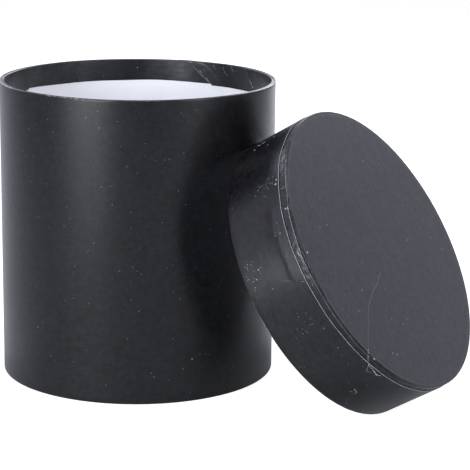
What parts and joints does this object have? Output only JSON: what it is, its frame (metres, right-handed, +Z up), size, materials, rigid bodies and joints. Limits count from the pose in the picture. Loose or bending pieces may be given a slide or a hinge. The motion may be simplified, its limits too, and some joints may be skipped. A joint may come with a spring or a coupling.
{
  "type": "round flower box",
  "caption": "Round paper-covered board box for flowers, open at the top and lined inside, with its matching lift-off lid leaning against its side.",
  "frame": {"origin": "centre of the box's underside, on the surface it stands on", "axes": "+Z up along the box's axis, +X towards the side where the lid leans"},
  "size_m": [0.3334, 0.198, 0.205],
  "materials": {
    "black_covering_paper": "satin",
    "white_lining_paper": "matte",
    "grey_board": "matte"
  },
  "bodies": {
    "box": {"box_tube": "grey_board", "box_base_board": "grey_board", "box_side_wrap": "black_covering_paper", "box_base_cover": "black_covering_paper", "box_wall_liner": "white_lining_paper", "box_floor_liner": "white_lining_paper"},
    "lid": {"lid_ring": "grey_board", "lid_top_board": "grey_board", "lid_top_cover": "black_covering_paper", "lid_side_wrap": "black_covering_paper", "lid_wall_liner": "white_lining_paper", "lid_top_liner": "white_lining_paper"}
  },
  "joints": [
    {"name": "lid_lift", "type": "slide", "parent": "box", "child": "lid", "axis": [0, 0, 1], "range_m": [0, 0.22]}
  ]
}
